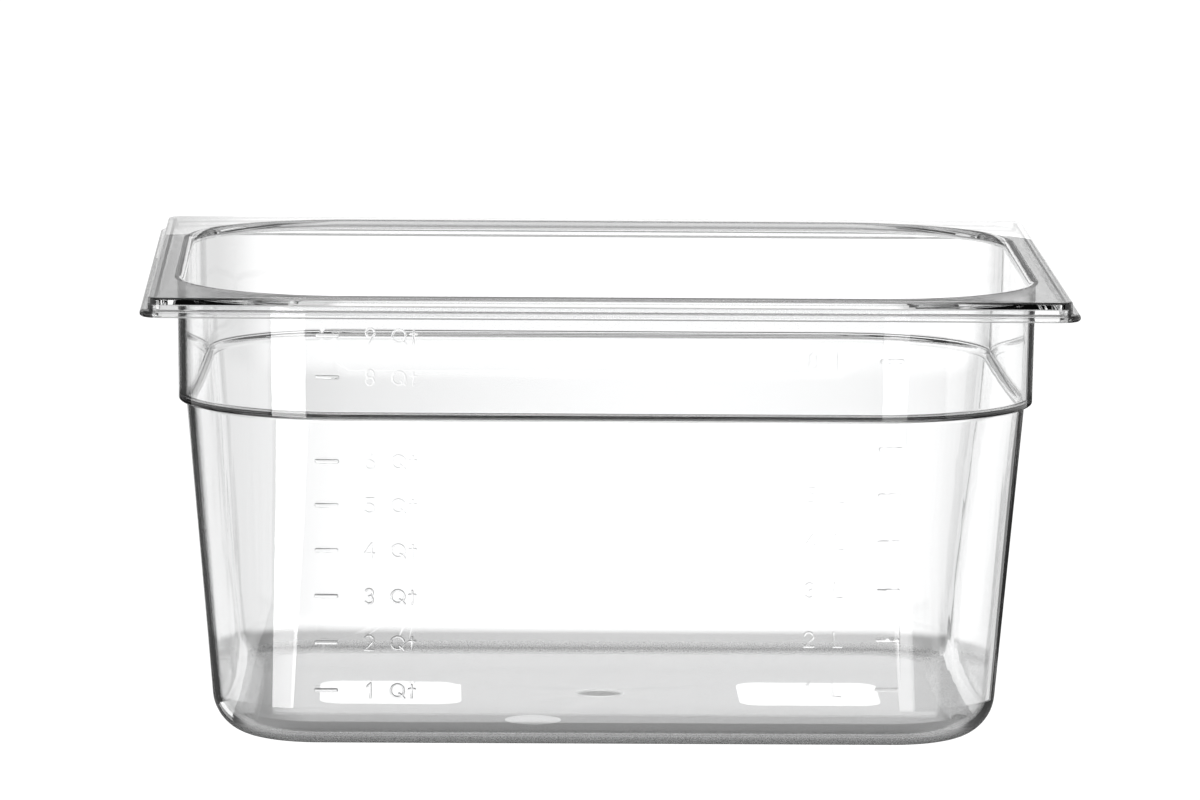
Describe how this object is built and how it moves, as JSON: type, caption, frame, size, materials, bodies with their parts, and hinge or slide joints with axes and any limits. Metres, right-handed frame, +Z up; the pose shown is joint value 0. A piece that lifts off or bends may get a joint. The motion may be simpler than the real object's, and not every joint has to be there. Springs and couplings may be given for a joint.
{
  "type": "food pan",
  "caption": "Clear rectangular half-size food pan with a flat flanged rim, stacking shoulder, tapered walls, rounded corners and raised quart and litre scales.",
  "frame": {"origin": "middle of the underside, on the surface the pan stands on", "axes": "+Z up towards the open mouth, +X along the pan's length, -Y towards the wall that carries the scales"},
  "size_m": [0.325, 0.265, 0.161],
  "materials": {
    "clear_polycarbonate": "clear gloss moulded polycarbonate",
    "frosted_floor": "clear polycarbonate with a fine textured underside",
    "polished_panel": "polished clear polycarbonate",
    "raised_marks": "clear gloss moulded polycarbonate"
  },
  "bodies": {
    "root": {"rim_land": "clear_polycarbonate", "rim_skirt": "clear_polycarbonate", "rim_lip": "clear_polycarbonate", "collar": "clear_polycarbonate", "stacking_shoulder": "clear_polycarbonate", "front_wall": "clear_polycarbonate", "back_wall": "clear_polycarbonate", "left_wall": "clear_polycarbonate", "right_wall": "clear_polycarbonate", "wall_corners": "clear_polycarbonate", "base_edge": "clear_polycarbonate", "base_floor": "frosted_floor", "left_window": "polished_panel", "right_window": "polished_panel", "date_disc": "polished_panel", "gate_mark": "raised_marks", "quart_ticks": "raised_marks", "quart_numerals": "raised_marks", "litre_ticks": "raised_marks", "litre_numerals": "raised_marks"}
  },
  "joints": []
}
